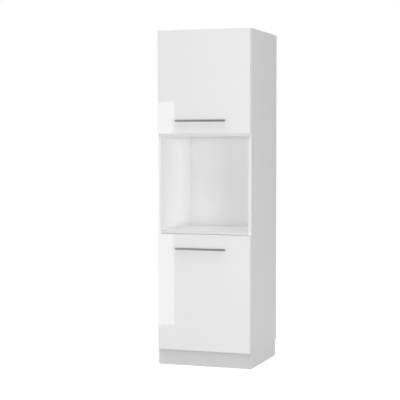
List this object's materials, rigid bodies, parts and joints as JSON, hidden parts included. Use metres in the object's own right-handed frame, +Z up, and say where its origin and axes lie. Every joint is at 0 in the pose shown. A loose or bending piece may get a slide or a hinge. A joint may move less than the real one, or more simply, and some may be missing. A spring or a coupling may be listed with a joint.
{
  "type": "oven housing cabinet",
  "caption": "Tall kitchen cabinet with an open niche for a built-in oven between two closed compartments, flat hinged doors with bar handles, loose shelves and a plinth.",
  "frame": {"origin": "on the floor, below the middle of the unit's whole box, handles included", "axes": "+Z up, the doors face -Y, +X to the right seen from the front"},
  "size_m": [0.6, 0.614, 2.07],
  "materials": {
    "carcass_board": "white melamine-faced chipboard, matt",
    "back_sheet": "white-faced hardboard sheet, matt",
    "gloss_front": "white high-gloss foil on fibreboard",
    "handle_steel": "brushed, steel grey",
    "hinge_nickel": "nickel-plated pressed steel",
    "zinc_steel": "bright zinc-plated steel",
    "cam_metal": "die-cast zinc alloy",
    "white_plastic": "white extruded plastic",
    "clear_bumper": "soft translucent elastomer",
    "beech": "plain beech"
  },
  "bodies": {
    "cabinet": {"left_side_panel": "carcass_board", "right_side_panel": "carcass_board", "bottom_panel": "carcass_board", "oven_shelf": "carcass_board", "niche_top_shelf": "carcass_board", "top_panel": "carcass_board", "plinth_board": "carcass_board", "lower_back_panel": "back_sheet", "niche_back_panel": "back_sheet", "upper_back_panel": "back_sheet", "back_joint_strips": "white_plastic", "lower_shelf": "carcass_board", "upper_shelf": "carcass_board", "lower_shelf_pins": "zinc_steel", "upper_shelf_pins": "zinc_steel", "cam_locks": "cam_metal", "cam_dowels": "zinc_steel", "wood_dowels": "beech", "wall_angles": "zinc_steel", "wall_angle_screws": "zinc_steel", "upper_hinge_arm_pins": "zinc_steel", "upper_hinge_arms": "hinge_nickel", "upper_hinge_arm_screws": "zinc_steel", "upper_hinge_plates": "hinge_nickel", "upper_hinge_plate_screws": "zinc_steel", "lower_hinge_arm_pins": "zinc_steel", "lower_hinge_arms": "hinge_nickel", "lower_hinge_arm_screws": "zinc_steel", "lower_hinge_plates": "hinge_nickel", "lower_hinge_plate_screws": "zinc_steel"},
    "upper_links": {"upper_hinge_links": "hinge_nickel"},
    "upper_leaf": {"upper_door": "gloss_front", "upper_handle_bar": "handle_steel", "upper_handle_posts": "handle_steel", "upper_handle_screws": "zinc_steel", "upper_door_bumpers": "clear_bumper", "upper_hinge_cups": "hinge_nickel", "upper_hinge_cup_screws": "zinc_steel", "upper_hinge_cup_pins": "zinc_steel"},
    "lower_links": {"lower_hinge_links": "hinge_nickel"},
    "lower_leaf": {"lower_door": "gloss_front", "lower_handle_bar": "handle_steel", "lower_handle_posts": "handle_steel", "lower_handle_screws": "zinc_steel", "lower_door_bumpers": "clear_bumper", "lower_hinge_cups": "hinge_nickel", "lower_hinge_cup_screws": "zinc_steel", "lower_hinge_cup_pins": "zinc_steel"}
  },
  "joints": [
    {"name": "upper_link_turn", "type": "hinge", "parent": "cabinet", "child": "upper_links", "pos_m": [0.265, -0.247, 1.7505], "axis": [0, 0, 1], "range_deg": [-42, 0]},
    {"name": "upper_door_swing", "type": "hinge", "parent": "upper_links", "child": "upper_leaf", "pos_m": [0.2865, -0.259, 1.7505], "axis": [0, 0, 1], "range_deg": [0, 151.8]},
    {"name": "lower_link_turn", "type": "hinge", "parent": "cabinet", "child": "lower_links", "pos_m": [0.265, -0.247, 0.457], "axis": [0, 0, 1], "range_deg": [-42, 0]},
    {"name": "lower_door_swing", "type": "hinge", "parent": "lower_links", "child": "lower_leaf", "pos_m": [0.2865, -0.259, 0.457], "axis": [0, 0, 1], "range_deg": [0, 151.8]}
  ],
  "couplings": [
    {"joint": "upper_link_turn", "follows": "upper_door_swing", "ratio": -0.27536},
    {"joint": "lower_link_turn", "follows": "lower_door_swing", "ratio": -0.27536}
  ]
}
